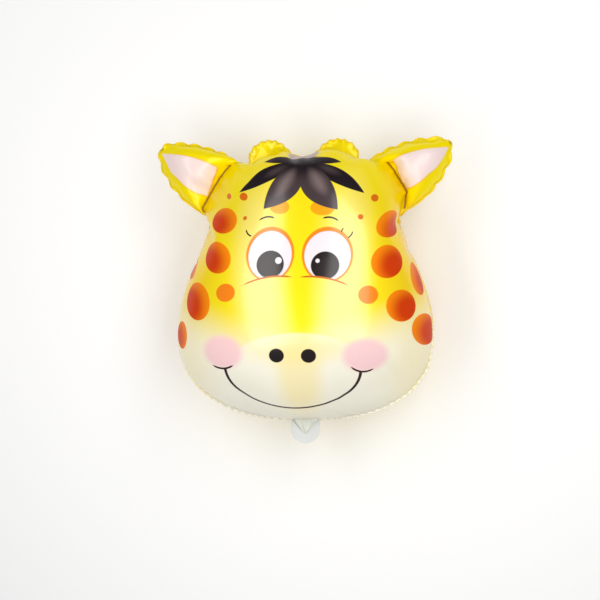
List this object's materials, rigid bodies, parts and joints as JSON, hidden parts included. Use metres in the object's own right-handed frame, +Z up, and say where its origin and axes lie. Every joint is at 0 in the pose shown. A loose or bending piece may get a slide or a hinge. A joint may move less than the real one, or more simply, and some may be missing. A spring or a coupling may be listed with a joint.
{
  "type": "giraffe foil balloon",
  "caption": "Inflated giraffe-head foil balloon lying face up, with a sealed scalloped seam, two ears, two short horns and a filling tab at the chin.",
  "frame": {"origin": "on the surface that the balloon lies on, under the middle of its bounding box", "axes": "+X to the viewer's right across the face, +Y from the filling tab to the horns, +Z up from the back of the head to the face"},
  "size_m": [0.5526, 0.5634, 0.2915],
  "materials": {
    "printed_foil": "metallised plastic film printed in glossy translucent inks",
    "clear_film": "milky translucent plastic film"
  },
  "bodies": {
    "root": {"foil_envelope": "printed_foil", "filling_tab": "clear_film"}
  },
  "joints": []
}
